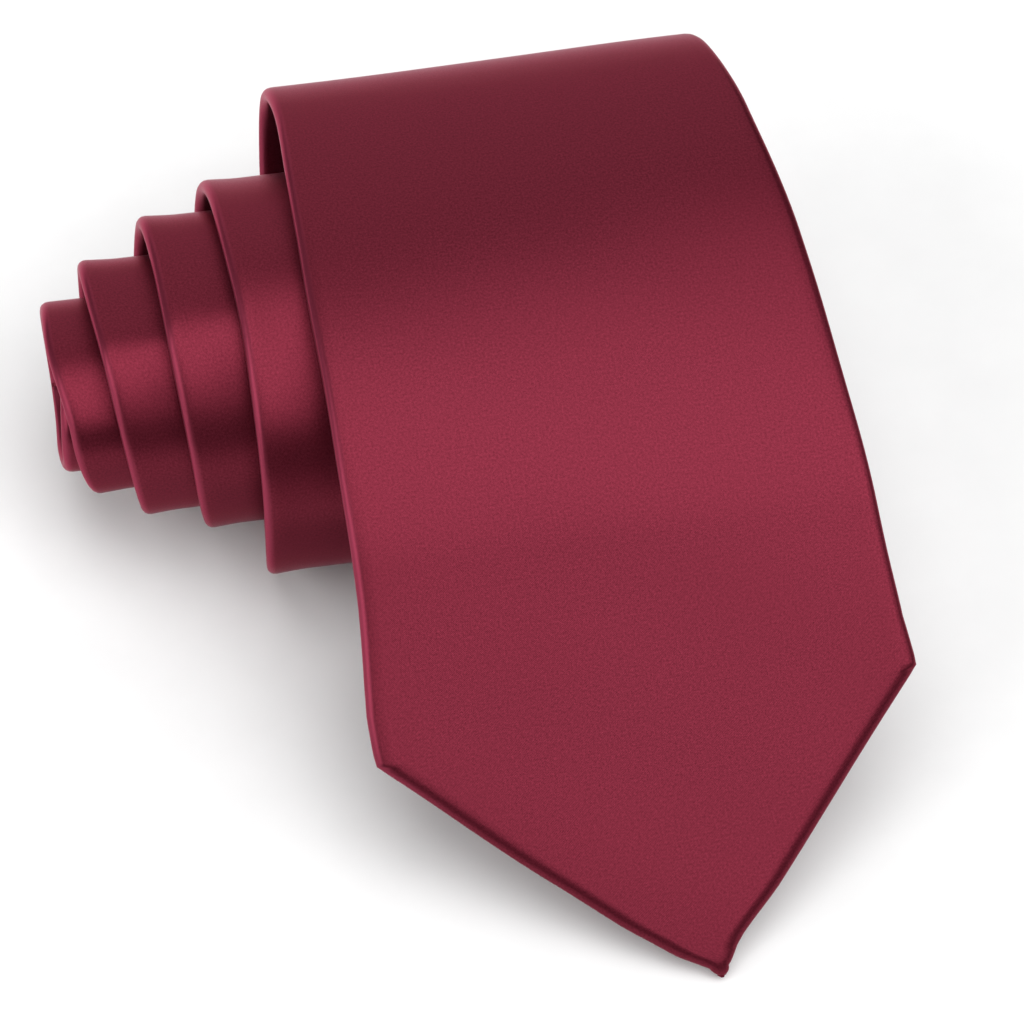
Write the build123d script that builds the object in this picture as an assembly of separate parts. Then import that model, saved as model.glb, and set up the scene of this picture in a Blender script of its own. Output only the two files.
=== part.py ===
"""A satin necktie, rolled up from its narrow end and resting on a table.

The tie is one long flat strip. It is described by its middle line, which starts at the point of the
blade, climbs a straight ramp from the table, passes over the top of the roll and winds inwards with
its front face outwards. Every piece is then laid out along that line: "along" is the distance from
the point of the blade, "x" is the place across the strip, which is the direction of the roll's axis,
and "lift" is the height from the middle of the strip's thickness towards its front face.
"""
from build123d import *
import bisect
import math
import os

# ---- Driving dimensions, in millimetres, degrees and turns ----
BLADE_WIDTH = 80.0  # across the two corners of the wide end
TIP_LENGTH = 39.5  # from the corners of the blade to its point
TIP_DRIFT = 3.7  # the point lies this much to the right of the middle of the blade
EDGE_TAPER = 0.038  # each edge closes in this much for each millimetre of length
NECK_WIDTH = 37.0
TAIL_WIDTH = 40.0  # across the two corners of the narrow end
TAIL_TIP_LENGTH = 16.0
TAIL_NOSE = 3.0  # blunt point of the narrow end
STRIP_THICKNESS = 2.4
CLOTH = 0.45  # self fabric, one layer
LINING = 0.22  # tipping, one layer
AIR = 0.05  # between layers that lie on each other
THREAD = 0.35

HALF_DEPTH = 31.5  # the roll's half size along Y, and how each turn shrinks it
DEPTH_STEP = 4.2
FRONT_REACH = 19.0  # how much further the loose outer turn stands out
FRONT_FADE = 2.0  # how quickly that reach dies away with the turns
HALF_HEIGHT = 28.0  # the same along Z
HEIGHT_STEP = 3.8
HEIGHT_SAG = 0.1
CENTRE_HEIGHT = 27.875
CENTRE_STEP = 1.2  # each turn rests this much lower inside the one round it
FOOT_LENGTH = 10.0  # flat stretch under the roll
CORE_START = 4.0  # from this turn inwards the cloth is wound tight
CORE_PITCH = 2.75
RAMP_START = -0.179  # the turn at which the blade leaves the ramp
RAMP_LENGTH = 66.0  # straight stretch, with the point of the blade
ROLL_END = 6.8

# The strip runs a little askew round the roll, so each turn stands out to the left of the last.
SKEW_BY_TURN = ((-1.0, 4.0), (0.0, 3.6), (0.6, 6.2), (3.2, 6.2), (4.2, 1.0), (9.0, 1.0))

BLADE_SEAM_AT = 390.0  # where the blade section is joined to the neck section
TAIL_SEAM_AT = 727.0  # where the neck section is joined to the tail section
SEAM_LENGTH = 0.6
SLIT = 1.0  # between the two folded edges down the back
FLAPS_MEET_AT = 95.0  # above this the two folded edges run side by side
HEM_CORNER_AT = 47.0
HEM_CORNER_SIDE = 29.0
HEM_TIP_AT = 14.0
TAIL_HEM_CORNER_SIDE = 13.0
TAIL_FLAPS_OPEN = 38.0  # from the end of the narrow point, as the two below
TAIL_HEM_CORNER = 18.0
TAIL_HEM_TIP = 5.0
INNER_END = 2.0  # what lies inside stops this far short of the narrow point
TIPPING_LAP = 5.0  # the tipping runs on this far under the closed flaps
SEAM_PARTS = (0.06, 0.97)  # the stretch of each hem that the tipping seam runs along
TACK_SPAN = 6.0
TACK_INSET = 2.0  # from where the flaps meet
TACK_LENGTH = 1.2
TACK_HEIGHT = 0.2
KEEPER_AT = 186.0
KEEPER_WIDTH = 12.0
KEEPER_SPAN = 42.0
KEEPER_FOOT = 3.0
KEEPER_RISE = 1.1
LABEL_AT = 150.0
LABEL_LENGTH = 18.0
LABEL_SPAN = 46.0
LABEL_THICKNESS = 0.3
LABEL_SEAM_INSET = 1.2

POINT_X = 24.57  # the point of the blade, from the middle of the footprint
ROLL_Y = 31.91  # the roll's axis, from the middle of the footprint

TABLE_STEP = 1 / 720  # of a turn
GRID_STEP = 30  # rows of the table between the places that the curves pass through
TINY = 1e-7

TOP = STRIP_THICKNESS / 2
BOTTOM = -STRIP_THICKNESS / 2
ON_BACK = BOTTOM - AIR  # underside of what is sewn on the back


# ---- The middle line ----
def half_depth(turn):
    loose = FRONT_REACH * math.exp(-FRONT_FADE * turn)
    tight = CORE_PITCH * max(turn - CORE_START, 0.0)
    return HALF_DEPTH - DEPTH_STEP * min(turn, CORE_START) + loose - tight


def half_height(turn):
    wound = min(turn, CORE_START)
    tight = CORE_PITCH * max(turn - CORE_START, 0.0)
    return HALF_HEIGHT - HEIGHT_STEP * wound - HEIGHT_SAG * wound * wound - tight


def roll_point(turn):
    """Place (y, z) on the wound part of the middle line; the foot's two ends share turn 0.5."""
    foot = 0.0
    if 0.25 < turn <= 0.5:
        foot = FOOT_LENGTH / 2
    if 0.5 < turn < 0.75:
        foot = -FOOT_LENGTH / 2
    angle = 2 * math.pi * turn
    y = foot + (half_depth(turn) - abs(foot)) * math.sin(angle)
    z = CENTRE_HEIGHT - CENTRE_STEP * min(turn, CORE_START) + half_height(turn) * math.cos(angle)
    return y, z


def skew(turn):
    """Tangent of the angle between the strip and a line square to the roll's axis."""
    for (low, first), (high, last) in zip(SKEW_BY_TURN, SKEW_BY_TURN[1:]):
        if turn <= high:
            break
    return math.tan(math.radians(first + (last - first) * (turn - low) / (high - low)))


def wound_table(start, stop, along, x):
    """Rows of (along, turn, x) at fine steps from one turn to another."""
    rows = [(along, start, x)]
    count = round((stop - start) / TABLE_STEP)
    last = roll_point(start + 1e-9)
    for i in range(1, count + 1):
        turn = start + (stop - start) * i / count
        here = roll_point(turn)
        run = math.dist(last, here)
        along += run
        x -= skew(turn) * run
        rows.append((along, turn, x))
        last = here
    return rows


RAMP_X = POINT_X - skew(RAMP_START) * RAMP_LENGTH
OUTER = wound_table(RAMP_START, 0.5, RAMP_LENGTH, RAMP_X)
FOOT_AT = OUTER[-1][0]
FOOT_X = OUTER[-1][2]
INNER_AT = FOOT_AT + FOOT_LENGTH
INNER_X = FOOT_X - skew(0.5) * FOOT_LENGTH
INNER = wound_table(0.5, ROLL_END, INNER_AT, INNER_X)
TOTAL_LENGTH = INNER[-1][0]
TAIL_CORNER_AT = TOTAL_LENGTH - TAIL_TIP_LENGTH
TAIL_FLAPS_MEET_AT = TOTAL_LENGTH - TAIL_FLAPS_OPEN
TAIL_HEM_CORNER_AT = TOTAL_LENGTH - TAIL_HEM_CORNER
TAIL_HEM_TIP_AT = TOTAL_LENGTH - TAIL_HEM_TIP
TAIL_MARKS = (TAIL_FLAPS_MEET_AT, TAIL_HEM_CORNER_AT, TAIL_CORNER_AT, TAIL_HEM_TIP_AT)
SLIT_SHAPE = (
    (HEM_CORNER_AT, HEM_CORNER_SIDE),
    (FLAPS_MEET_AT, SLIT / 2),
    (TAIL_FLAPS_MEET_AT, SLIT / 2),
    (TAIL_HEM_CORNER_AT, TAIL_HEM_CORNER_SIDE),
    (TAIL_HEM_TIP_AT, SLIT / 2),
    (TOTAL_LENGTH, SLIT / 2),
)


def look_up(rows, along):
    """Turn and x at a distance along the middle line."""
    i = min(max(bisect.bisect_left(rows, (along,)), 1), len(rows) - 1)
    (low, turn_low, x_low), (high, turn_high, x_high) = rows[i - 1], rows[i]
    part = (along - low) / (high - low)
    return turn_low + (turn_high - turn_low) * part, x_low + (x_high - x_low) * part


def wound_station(rows, along):
    turn, x = look_up(rows, along)
    at_foot = abs(turn - 0.5) < 1e-9
    if at_foot and rows is INNER:
        turn += TINY
    y, z = roll_point(turn)
    y_before, z_before = roll_point(turn - TINY)
    run = math.dist((y, z), (y_before, z_before))
    ny, nz = (z_before - z) / run, (y - y_before) / run
    if at_foot:
        ny, nz = 0.0, -1.0
    return x, y + ROLL_Y, z, ny, nz


def station(along):
    """Middle of the strip: x, y, z and the direction (y, z) towards its front face."""
    if along <= RAMP_LENGTH:
        x, y, z, ny, nz = wound_station(OUTER, RAMP_LENGTH)
        back = RAMP_LENGTH - along
        return x + skew(RAMP_START) * back, y - nz * back, z + ny * back, ny, nz
    if along < FOOT_AT:
        return wound_station(OUTER, along)
    if along < INNER_AT:
        x, y, z, ny, nz = wound_station(OUTER, FOOT_AT)
        ahead = along - FOOT_AT
        return x - skew(0.5) * ahead, y - ahead, z, 0.0, -1.0
    return wound_station(INNER, along)


def half_width(along):
    taper = BLADE_WIDTH / 2 - EDGE_TAPER * (along - TIP_LENGTH)
    if along < TAIL_SEAM_AT:
        return max(taper, NECK_WIDTH / 2)
    if along <= TAIL_CORNER_AT:
        spread = (along - TAIL_SEAM_AT) / (TAIL_CORNER_AT - TAIL_SEAM_AT)
        return (NECK_WIDTH + (TAIL_WIDTH - NECK_WIDTH) * spread) / 2
    left = (TOTAL_LENGTH - along) / TAIL_TIP_LENGTH
    return (TAIL_NOSE + (TAIL_WIDTH - TAIL_NOSE) * left) / 2


# ---- Solids laid out along the middle line ----
def place(along, x, lift):
    """Point of the rolled tie from its place on the flat strip."""
    _, y, z, ny, nz = station(along)
    return Vector(x, y + ny * lift, z + nz * lift)


def middle(along):
    return station(along)[0]


def stops(start, end):
    """Places between start and end that follow the curve, on a grid that every piece shares."""
    if end <= RAMP_LENGTH or (start >= FOOT_AT and end <= INNER_AT):
        return [start, end]
    rows = OUTER if end <= FOOT_AT else INNER
    grid = [along for along, _, _ in rows[::GRID_STEP]]
    reach = grid[bisect.bisect_left(grid, start) + 1] - grid[bisect.bisect_left(grid, start)]
    inside = [along for along in grid if start + reach / 2 < along < end - reach / 2]
    if len(inside) < 2:
        inside = [start + (end - start) / 3, end - (end - start) / 3]
    return [start, *inside, end]


def stretches(start, end, marks=()):
    """Split a length where the middle line changes from straight to wound, and at the marks."""
    cuts = [RAMP_LENGTH, FOOT_AT, INNER_AT, *marks]
    inside = sorted(cut for cut in cuts if start < cut < end)
    return list(zip([start, *inside], [*inside, end]))


def rail(places, corner):
    points = [place(along, *corner(along)) for along in places]
    if len(points) == 2:
        return Edge.make_line(*points)
    return Edge.make_spline(points, parameters=places)


def end_face(along, corners):
    return Face(Wire.make_polygon([place(along, *corner(along)) for corner in corners]))


def wrap(start, end, corners, marks=()):
    """Closed solid between two places; each corner gives (x, lift) of its section at a place."""
    faces = [end_face(start, corners), end_face(end, corners)]
    for low, high in stretches(start, end, marks):
        places = stops(low, high)
        rails = [rail(places, corner) for corner in corners]
        for one, other in zip(rails, rails[1:] + rails[:1]):
            if len(places) > 2:
                faces.append(Face.make_surface_from_curves(one, other))
            else:
                loop = [one @ 0, one @ 1, other @ 1, other @ 0]
                faces.append(Face(Wire.make_polygon(loop)))
    return Solid(Shell(faces))


def box_section(left, right, low, high):
    """Four corners of a plain slab; left and right are functions of the place along."""
    return [
        lambda along: (left(along), low),
        lambda along: (right(along), low),
        lambda along: (right(along), high),
        lambda along: (left(along), high),
    ]


def across(offset):
    """A line that keeps its distance from the middle of the strip."""
    return lambda along: middle(along) + offset


def edge(side, inset):
    """A line inset from the left (-1) or right (+1) edge of the strip."""
    return lambda along: middle(along) + side * (half_width(along) - inset)


def slit_half(along):
    """Half the opening between the two flaps at the back; it widens towards both points of the tie."""
    for (low, first), (high, last) in zip(SLIT_SHAPE, SLIT_SHAPE[1:]):
        if along <= high:
            break
    return first + (last - first) * (along - low) / (high - low)


def slit_edge(side, inset=0.0):
    return lambda along: middle(along) + side * (slit_half(along) - inset)


def folded_section(side_left, side_right, slit_left, slit_right):
    """Self fabric folded round both edges, open along a slit at the back."""
    def inner_left(along):
        return side_left(along) + CLOTH

    def inner_right(along):
        return side_right(along) - CLOTH

    outline = [
        (slit_right, BOTTOM),
        (side_right, BOTTOM),
        (side_right, TOP),
        (side_left, TOP),
        (side_left, BOTTOM),
        (slit_left, BOTTOM),
        (slit_left, BOTTOM + CLOTH),
        (inner_left, BOTTOM + CLOTH),
        (inner_left, TOP - CLOTH),
        (inner_right, TOP - CLOTH),
        (inner_right, BOTTOM + CLOTH),
        (slit_right, BOTTOM + CLOTH),
    ]
    return [lambda along, line=line, lift=lift: (line(along), lift) for line, lift in outline]


# ---- The flat point of the blade ----
def point_plan(inset):
    """Outline (along, across) of the point as far as the end of the ramp, on the flat strip."""
    half = BLADE_WIDTH / 2 - inset
    tip = inset * math.hypot(TIP_LENGTH, BLADE_WIDTH / 2) / (BLADE_WIDTH / 2)
    corner = tip + (TIP_LENGTH - tip) * half / (BLADE_WIDTH / 2)
    return tip, corner, half


def skewed(along, side):
    """Turn a place on the ramp by the skew of the blade, and lean the point to the right."""
    side += TIP_DRIFT * max(1 - along / HEM_CORNER_AT, 0.0)
    angle = math.atan(skew(RAMP_START))
    x = POINT_X - along * math.sin(angle) + side * math.cos(angle)
    return x, along * math.cos(angle) + side * math.sin(angle)


def ramp_prism(outline, low, high):
    """Solid over an outline of (x, along) on the ramp, between two lifts."""
    points = [place(along, x, low) for x, along in outline]
    _, _, _, ny, nz = station(0.0)
    return Solid.extrude(Face(Wire.make_polygon(points)), Vector(0, ny, nz) * (high - low))


def point_prism(inset, end, low, high):
    tip, corner, half = point_plan(inset)
    outline = [
        skewed(tip, 0.0),
        skewed(corner, half),
        (edge(1, inset)(end), end),
        (edge(-1, inset)(end), end),
        skewed(corner, -half),
    ]
    return ramp_prism(outline, low, high)


def back_window():
    """The kite at the back of the point where the lining shows between the hems."""
    outline = [
        skewed(HEM_TIP_AT, 0.0),
        skewed(HEM_CORNER_AT, HEM_CORNER_SIDE),
        (slit_edge(1)(RAMP_LENGTH), RAMP_LENGTH),
        (slit_edge(-1)(RAMP_LENGTH), RAMP_LENGTH),
        skewed(HEM_CORNER_AT, -HEM_CORNER_SIDE),
    ]
    return ramp_prism(outline, BOTTOM - 1, BOTTOM + CLOTH)


# ---- Sub-parts ----
def shell_section():
    return folded_section(edge(-1, 0), edge(1, 0), slit_edge(-1), slit_edge(1))


def blade_shell():
    point = point_prism(0, RAMP_LENGTH, BOTTOM, TOP)
    point -= point_prism(CLOTH, RAMP_LENGTH, BOTTOM + CLOTH, TOP - CLOTH)
    point -= back_window()
    wound = wrap(RAMP_LENGTH, BLADE_SEAM_AT, shell_section(), [FLAPS_MEET_AT])
    return point + wound


def neck_shell():
    return wrap(BLADE_SEAM_AT + SEAM_LENGTH, TAIL_SEAM_AT, shell_section())


def tail_shell():
    return wrap(TAIL_SEAM_AT + SEAM_LENGTH, TOTAL_LENGTH, shell_section(), TAIL_MARKS)


def blade_piecing_seam():
    return wrap(BLADE_SEAM_AT, BLADE_SEAM_AT + SEAM_LENGTH, shell_section())


def tail_piecing_seam():
    return wrap(TAIL_SEAM_AT, TAIL_SEAM_AT + SEAM_LENGTH, shell_section())


def inner_section(low, high):
    return box_section(edge(-1, CLOTH + AIR), edge(1, CLOTH + AIR), low, high)


def interlining():
    low = BOTTOM + CLOTH + LINING + 2 * AIR
    high = TOP - CLOTH - AIR
    point = point_prism(CLOTH + AIR, RAMP_LENGTH, low, high)
    marks = [FLAPS_MEET_AT, BLADE_SEAM_AT, TAIL_SEAM_AT, *TAIL_MARKS]
    return point + wrap(RAMP_LENGTH, TOTAL_LENGTH - INNER_END, inner_section(low, high), marks)


def blade_tipping():
    low = BOTTOM + CLOTH + AIR
    high = low + LINING
    point = point_prism(CLOTH + AIR, RAMP_LENGTH, low, high)
    return point + wrap(RAMP_LENGTH, FLAPS_MEET_AT + TIPPING_LAP, inner_section(low, high))


def tail_tipping():
    low = BOTTOM + CLOTH + AIR
    section = inner_section(low, low + LINING)
    start, end = TAIL_FLAPS_MEET_AT - TIPPING_LAP, TOTAL_LENGTH - INNER_END
    return wrap(start, end, section, TAIL_MARKS)


def blade_tipping_seam():
    """One thread along each hem, on the lining just inside the folded edge."""
    run = HEM_CORNER_AT - HEM_TIP_AT
    length = math.hypot(run, HEM_CORNER_SIDE)
    threads = []
    first, last = SEAM_PARTS
    near, far = AIR, AIR + THREAD
    for side in (-1, 1):
        outline = []
        for part, inset in ((first, near), (last, near), (last, far), (first, far)):
            along = HEM_TIP_AT + run * part + inset * HEM_CORNER_SIDE / length
            out = HEM_CORNER_SIDE * part - inset * run / length
            outline.append(skewed(along, side * out))
        threads.append(ramp_prism(outline, BOTTOM + AIR, BOTTOM + AIR + THREAD))
    return threads


def tail_tipping_seam():
    low = BOTTOM + AIR
    high = low + THREAD
    threads = []
    for side in (-1, 1):
        near, far = slit_edge(side, AIR + THREAD), slit_edge(side, AIR)
        section = box_section(near, far, low, high)
        threads.append(wrap(TAIL_HEM_CORNER_AT + 1, TAIL_HEM_TIP_AT - 2, section))
    return threads


def slip_stitch():
    section = box_section(across(-THREAD / 2), across(THREAD / 2), BOTTOM + AIR, BOTTOM + AIR + THREAD)
    return wrap(FLAPS_MEET_AT + 1, TAIL_FLAPS_MEET_AT - 1, section)


def bar_tack(start):
    section = box_section(across(-TACK_SPAN / 2), across(TACK_SPAN / 2), ON_BACK - TACK_HEIGHT, ON_BACK)
    return wrap(start, start + TACK_LENGTH, section)


def keeper_loop():
    """A strap across the back, sewn down at both ends and open in the middle."""
    half = KEEPER_SPAN / 2
    clear = ON_BACK - KEEPER_RISE
    outline = [
        (-half, ON_BACK),
        (-half, clear - CLOTH),
        (half, clear - CLOTH),
        (half, ON_BACK),
        (half - KEEPER_FOOT, ON_BACK),
        (half - KEEPER_FOOT, clear),
        (KEEPER_FOOT - half, clear),
        (KEEPER_FOOT - half, ON_BACK),
    ]
    corners = [lambda along, x=x, lift=lift: (middle(along) + x, lift) for x, lift in outline]
    return wrap(KEEPER_AT, KEEPER_AT + KEEPER_WIDTH, corners)


def end_stitches(start, end, reach, surface):
    """Two rows of thread, one at each end of a strap or label, on its free side."""
    rows = []
    for side in (-1, 1):
        line = across(side * reach - THREAD / 2), across(side * reach + THREAD / 2)
        section = box_section(*line, surface - AIR - TACK_HEIGHT, surface - AIR)
        rows.append(wrap(start + 1, end - 1, section))
    return rows


def keeper_stitches():
    reach = (KEEPER_SPAN - KEEPER_FOOT) / 2
    surface = ON_BACK - KEEPER_RISE - CLOTH
    return end_stitches(KEEPER_AT, KEEPER_AT + KEEPER_WIDTH, reach, surface)


def label():
    half = LABEL_SPAN / 2
    section = box_section(across(-half), across(half), ON_BACK - LABEL_THICKNESS, ON_BACK)
    return wrap(LABEL_AT, LABEL_AT + LABEL_LENGTH, section)


def label_stitches():
    surface = ON_BACK - LABEL_THICKNESS
    return end_stitches(LABEL_AT, LABEL_AT + LABEL_LENGTH, LABEL_SPAN / 2 - LABEL_SEAM_INSET, surface)


def write(name, shape):
    solids = shape if isinstance(shape, list) else list(shape.solids())
    body = solids[0] if len(solids) == 1 else Compound(solids)
    body.label = name
    export_step(body, f"parts/{name}.step")
    print(name, len(solids), "solids", round(sum(solid.volume for solid in solids), 1), "mm3")


def main():
    os.makedirs("parts", exist_ok=True)
    write("blade_shell", blade_shell())
    write("neck_shell", neck_shell())
    write("tail_shell", tail_shell())
    write("blade_piecing_seam", blade_piecing_seam())
    write("tail_piecing_seam", tail_piecing_seam())
    write("interlining", interlining())
    write("blade_tipping", blade_tipping())
    write("tail_tipping", tail_tipping())
    write("blade_tipping_seam", blade_tipping_seam())
    write("tail_tipping_seam", tail_tipping_seam())
    write("slip_stitch", slip_stitch())
    write("blade_bar_tack", bar_tack(FLAPS_MEET_AT + TACK_INSET))
    write("tail_bar_tack", bar_tack(TAIL_FLAPS_MEET_AT - TACK_INSET - TACK_LENGTH))
    write("keeper_loop", keeper_loop())
    write("keeper_stitches", keeper_stitches())
    write("label", label())
    write("label_stitches", label_stitches())


main()
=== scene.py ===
"""Looks of the rolled satin necktie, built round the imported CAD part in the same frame."""
import bisect
import functools
import math

import bmesh
import bpy
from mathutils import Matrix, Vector


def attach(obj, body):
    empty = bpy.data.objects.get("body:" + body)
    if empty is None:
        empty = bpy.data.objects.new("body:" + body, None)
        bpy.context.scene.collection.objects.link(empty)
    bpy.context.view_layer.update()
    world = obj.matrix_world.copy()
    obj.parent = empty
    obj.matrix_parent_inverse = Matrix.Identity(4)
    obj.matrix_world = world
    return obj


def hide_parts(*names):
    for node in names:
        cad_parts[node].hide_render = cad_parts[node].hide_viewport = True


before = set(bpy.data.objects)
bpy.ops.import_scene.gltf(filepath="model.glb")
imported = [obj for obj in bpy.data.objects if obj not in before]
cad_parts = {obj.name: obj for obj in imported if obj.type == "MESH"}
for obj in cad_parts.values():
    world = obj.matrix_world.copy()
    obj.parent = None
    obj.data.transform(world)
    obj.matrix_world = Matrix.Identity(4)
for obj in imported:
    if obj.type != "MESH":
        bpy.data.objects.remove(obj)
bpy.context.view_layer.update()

MM = 0.001

# ---- The strip's path, as in the CAD part; millimetres, degrees and turns ----
BLADE_WIDTH = 80.0
TIP_LENGTH = 39.5
TIP_DRIFT = 3.7
EDGE_TAPER = 0.038
NECK_WIDTH = 37.0
TAIL_WIDTH = 40.0
TAIL_TIP_LENGTH = 16.0
TAIL_NOSE = 3.0
STRIP_THICKNESS = 2.4
CLOTH = 0.45
LINING = 0.22
AIR = 0.05
THREAD = 0.35
HALF_DEPTH = 31.5
DEPTH_STEP = 4.2
FRONT_REACH = 19.0
FRONT_FADE = 2.0
HALF_HEIGHT = 28.0
HEIGHT_STEP = 3.8
HEIGHT_SAG = 0.1
CENTRE_HEIGHT = 27.875
CENTRE_STEP = 1.2
FOOT_LENGTH = 10.0
CORE_START = 4.0
CORE_PITCH = 2.75
RAMP_START = -0.179
RAMP_LENGTH = 66.0
ROLL_END = 6.8
SKEW_BY_TURN = ((-1.0, 4.0), (0.0, 3.6), (0.6, 6.2), (3.2, 6.2), (4.2, 1.0), (9.0, 1.0))
BLADE_SEAM_AT = 390.0
TAIL_SEAM_AT = 727.0
SEAM_LENGTH = 0.6
SLIT = 1.0
FLAPS_MEET_AT = 95.0
HEM_CORNER_AT = 47.0
HEM_CORNER_SIDE = 29.0
HEM_TIP_AT = 14.0
TAIL_HEM_CORNER_SIDE = 13.0
TACK_SPAN = 6.0
TACK_LENGTH = 1.2
KEEPER_AT = 186.0
KEEPER_WIDTH = 12.0
KEEPER_SPAN = 42.0
KEEPER_FOOT = 3.0
KEEPER_RISE = 1.1
LABEL_AT = 150.0
LABEL_LENGTH = 18.0
LABEL_SPAN = 46.0
LABEL_THICKNESS = 0.3
POINT_X = 24.57
ROLL_Y = 31.91
TABLE_STEP = 1 / 720
TINY = 1e-7
TOP = STRIP_THICKNESS / 2
BOTTOM = -TOP
ON_BACK = BOTTOM - AIR


def smooth(value, low, high):
    """0 below low, 1 above high, and a smooth step between."""
    t = min(max((value - low) / (high - low), 0.0), 1.0)
    return t * t * (3 - 2 * t)


def eased(points, value):
    """Value of a smooth line through (place, height) points, level outside them."""
    for (low, first), (high, last) in zip(points, points[1:]):
        if value <= high:
            break
    return first + (last - first) * smooth(value, low, high)


def bump_at(value, centre, width):
    return math.exp(-((value - centre) / width) ** 2)


def half_depth(turn):
    """Half the roll's depth, front to back."""
    loose = FRONT_REACH * math.exp(-FRONT_FADE * turn)
    tight = CORE_PITCH * max(turn - CORE_START, 0.0)
    return HALF_DEPTH - DEPTH_STEP * min(turn, CORE_START) + loose - tight


def half_height(turn):
    """Half the roll's height."""
    wound = min(turn, CORE_START)
    tight = CORE_PITCH * max(turn - CORE_START, 0.0)
    return HALF_HEIGHT - HEIGHT_STEP * wound - HEIGHT_SAG * wound * wound - tight


def roll_point(turn):
    """(y, z) of the spiral, with a flat foot under the outer turn."""
    foot = 0.0
    if 0.25 < turn <= 0.5:
        foot = FOOT_LENGTH / 2
    if 0.5 < turn < 0.75:
        foot = -FOOT_LENGTH / 2
    angle = 2 * math.pi * turn
    y = foot + (half_depth(turn) - abs(foot)) * math.sin(angle)
    z = CENTRE_HEIGHT - CENTRE_STEP * min(turn, CORE_START) + half_height(turn) * math.cos(angle)
    return y, z


def skew(turn):
    """How far the strip slides left for each millimetre along it."""
    for (low, first), (high, last) in zip(SKEW_BY_TURN, SKEW_BY_TURN[1:]):
        if turn <= high:
            break
    return math.tan(math.radians(first + (last - first) * (turn - low) / (high - low)))


def wound_table(start, stop, along, x):
    """Rows of (along, turn, x) at fine steps from one turn to another."""
    rows = [(along, start, x)]
    count = round((stop - start) / TABLE_STEP)
    last = roll_point(start + 1e-9)
    for i in range(1, count + 1):
        turn = start + (stop - start) * i / count
        here = roll_point(turn)
        run = math.dist(last, here)
        along += run
        x -= skew(turn) * run
        rows.append((along, turn, x))
        last = here
    return rows


OUTER = wound_table(RAMP_START, 0.5, RAMP_LENGTH, POINT_X - skew(RAMP_START) * RAMP_LENGTH)
FOOT_AT, _, FOOT_X = OUTER[-1]
INNER_AT = FOOT_AT + FOOT_LENGTH
INNER = wound_table(0.5, ROLL_END, INNER_AT, FOOT_X - skew(0.5) * FOOT_LENGTH)
TOTAL_LENGTH = INNER[-1][0]
TAIL_CORNER_AT = TOTAL_LENGTH - TAIL_TIP_LENGTH
TAIL_FLAPS_MEET_AT = TOTAL_LENGTH - 38.0
TAIL_HEM_CORNER_AT = TOTAL_LENGTH - 18.0
TAIL_HEM_TIP_AT = TOTAL_LENGTH - 5.0
SLIT_SHAPE = (
    (HEM_TIP_AT, 0.0),
    (HEM_CORNER_AT, HEM_CORNER_SIDE),
    (FLAPS_MEET_AT, SLIT / 2),
    (TAIL_FLAPS_MEET_AT, SLIT / 2),
    (TAIL_HEM_CORNER_AT, TAIL_HEM_CORNER_SIDE),
    (TAIL_HEM_TIP_AT, SLIT / 2),
    (TOTAL_LENGTH, SLIT / 2),
)


def look_up(rows, along):
    """Turn and x at a place along the strip, between the table's rows."""
    i = min(max(bisect.bisect_left(rows, (along,)), 1), len(rows) - 1)
    (low, turn_low, x_low), (high, turn_high, x_high) = rows[i - 1], rows[i]
    part = (along - low) / (high - low)
    return turn_low + (turn_high - turn_low) * part, x_low + (x_high - x_low) * part


def wound_station(rows, along):
    """station() for a place on the spiral."""
    turn, x = look_up(rows, along)
    at_foot = abs(turn - 0.5) < 1e-9
    if at_foot and rows is INNER:
        turn += TINY
    y, z = roll_point(turn)
    y_before, z_before = roll_point(turn - TINY)
    run = math.dist((y, z), (y_before, z_before))
    ny, nz = (z_before - z) / run, (y - y_before) / run
    if at_foot:
        ny, nz = 0.0, -1.0
    return x, y + ROLL_Y, z, ny, nz, turn


@functools.lru_cache(maxsize=100000)
def station(along):
    """Middle of the strip: x, y, z, the direction (y, z) towards its front face, and the turn."""
    if along <= RAMP_LENGTH:
        x, y, z, ny, nz, turn = wound_station(OUTER, RAMP_LENGTH)
        back = RAMP_LENGTH - along
        return x + skew(RAMP_START) * back, y - nz * back, z + ny * back, ny, nz, turn
    if along < FOOT_AT:
        return wound_station(OUTER, along)
    if along < INNER_AT:
        x, y, z, _, _, turn = wound_station(OUTER, FOOT_AT)
        ahead = along - FOOT_AT
        return x - skew(0.5) * ahead, y - ahead, z, 0.0, -1.0, turn
    return wound_station(INNER, along)


def half_width(along):
    """Half width of the plain strip, as in the CAD part."""
    taper = BLADE_WIDTH / 2 - EDGE_TAPER * (along - TIP_LENGTH)
    if along < TAIL_SEAM_AT:
        return max(taper, NECK_WIDTH / 2)
    if along <= TAIL_CORNER_AT:
        spread = (along - TAIL_SEAM_AT) / (TAIL_CORNER_AT - TAIL_SEAM_AT)
        return (NECK_WIDTH + (TAIL_WIDTH - NECK_WIDTH) * spread) / 2
    left = (TOTAL_LENGTH - along) / TAIL_TIP_LENGTH
    return (TAIL_NOSE + (TAIL_WIDTH - TAIL_NOSE) * left) / 2


def slit_half(along):
    """Half width of the opening between the flaps on the back."""
    if along <= HEM_TIP_AT:
        return 0.0
    for (low, first), (high, last) in zip(SLIT_SHAPE, SLIT_SHAPE[1:]):
        if along <= high:
            break
    return first + (last - first) * (along - low) / (high - low)


# ---- What the real cloth adds to the plain path ----
EDGE_ROUND = 1.35  # how far in from the edge the fold is rounded
NOSE = 1.3  # radius of the blade's point
SHOULDER_BULGE = 1.0
SHOULDER_AT = -0.072  # turns before the top of each turn
SHOULDER_SPAN = 0.05

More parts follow.
